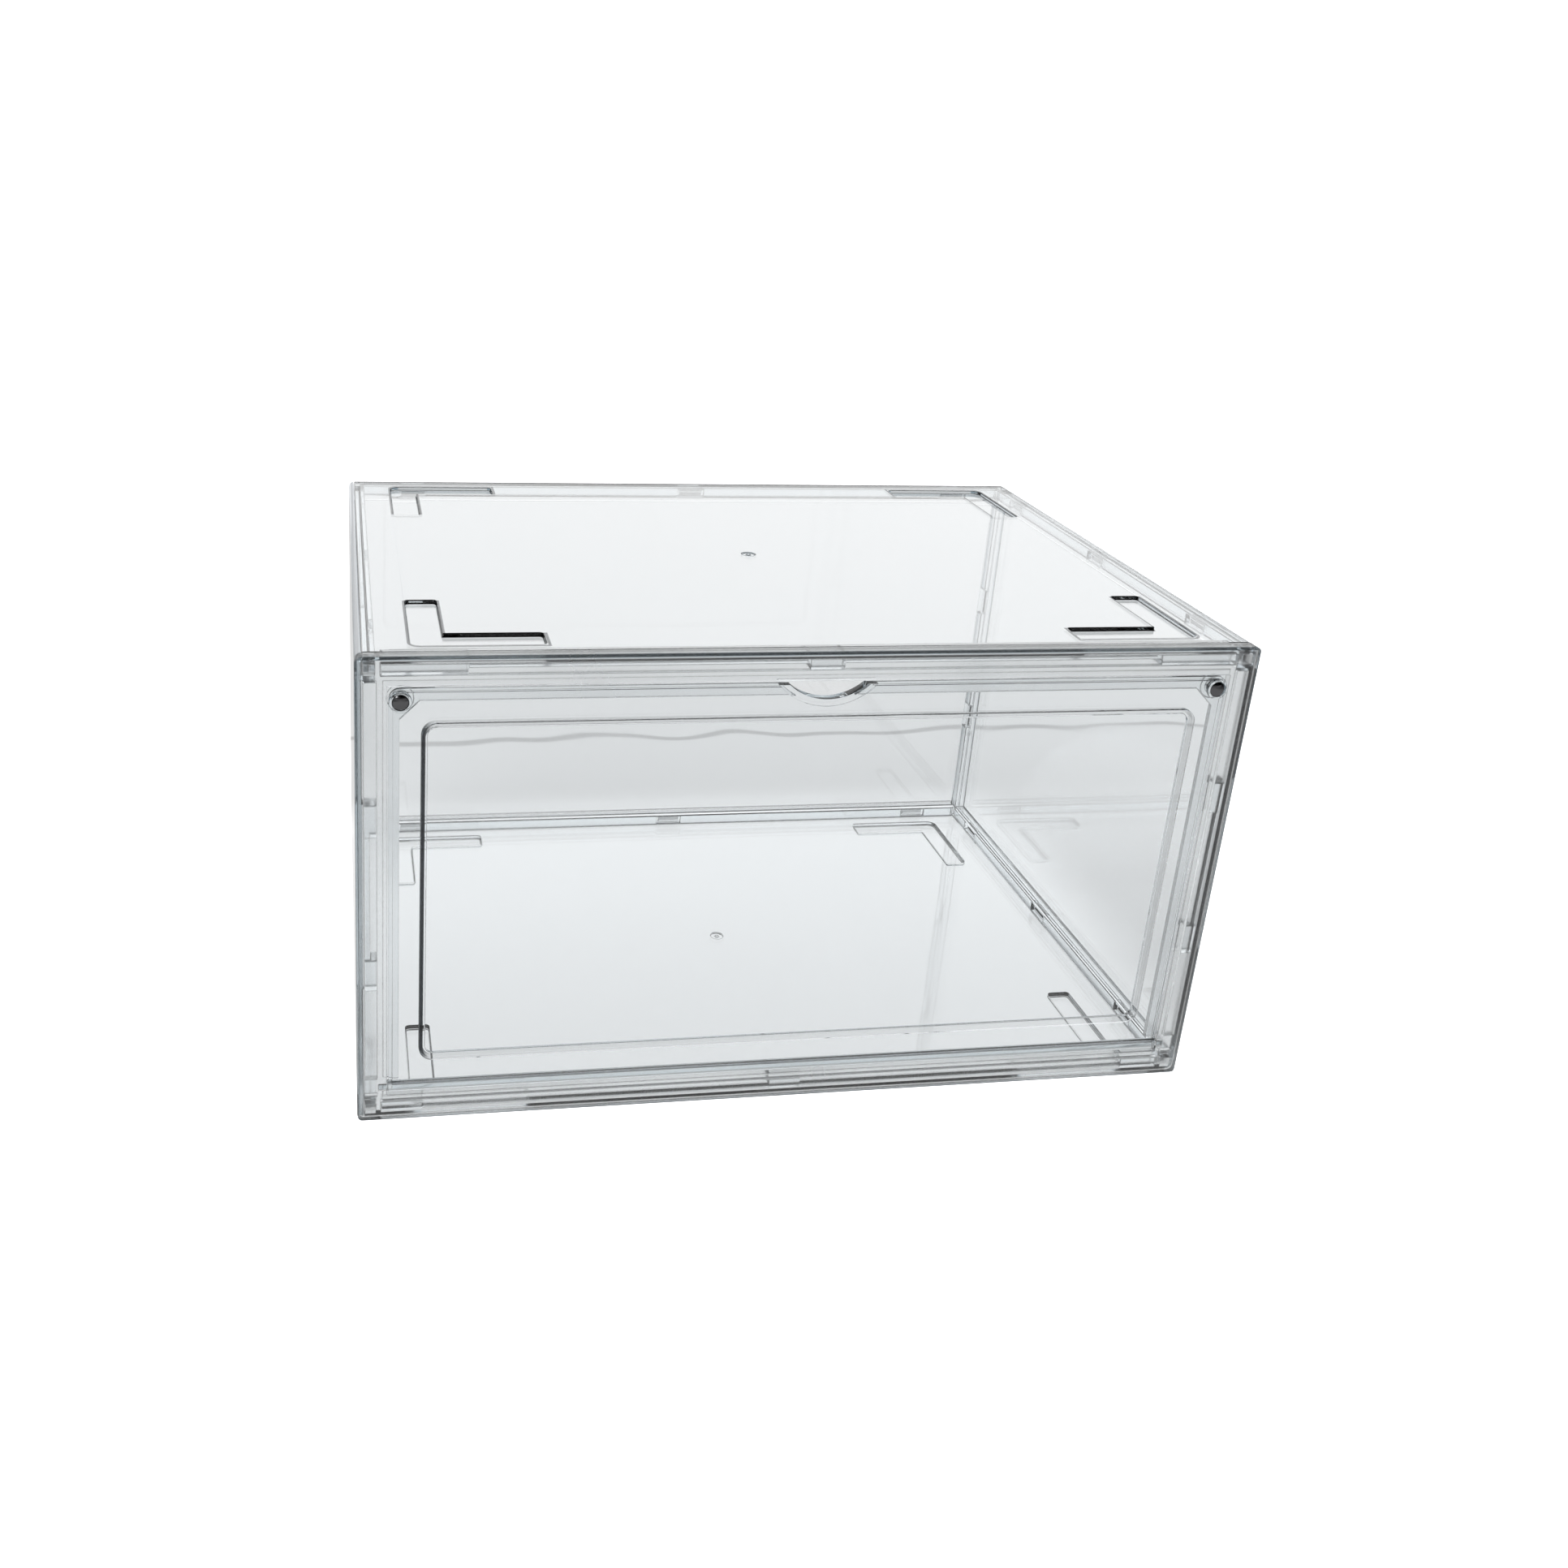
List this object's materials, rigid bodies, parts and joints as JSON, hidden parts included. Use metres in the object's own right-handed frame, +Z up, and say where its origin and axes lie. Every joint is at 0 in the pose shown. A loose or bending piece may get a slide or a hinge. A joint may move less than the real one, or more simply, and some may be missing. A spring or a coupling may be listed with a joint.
{
  "type": "shoe box",
  "caption": "Clear stackable shoe display box snapped together from flat moulded panels, with a magnetic drop-front door hinged along its lower edge and a half-moon finger pull.",
  "frame": {"origin": "on the floor, under the middle of the closed box", "axes": "+X across the box to the right, +Y from the door to the back wall, +Z up"},
  "size_m": [0.35, 0.252, 0.198],
  "materials": {
    "floor_plastic": "gloss",
    "roof_plastic": "gloss",
    "wall_plastic": "gloss",
    "frame_plastic": "gloss",
    "door_plastic": "gloss",
    "magnet_metal": "satin"
  },
  "bodies": {
    "case": {"bottom_panel": "floor_plastic", "top_panel": "roof_plastic", "left_panel": "wall_plastic", "right_panel": "wall_plastic", "back_panel": "wall_plastic", "front_frame": "frame_plastic", "frame_magnet_left": "magnet_metal", "frame_magnet_right": "magnet_metal"},
    "door": {"door": "door_plastic", "door_magnet_left": "magnet_metal", "door_magnet_right": "magnet_metal"}
  },
  "joints": [
    {"name": "door_hinge", "type": "hinge", "parent": "case", "child": "door", "pos_m": [0, -0.1218, 0.016], "axis": [1, 0, 0], "range_deg": [0, 94]}
  ]
}
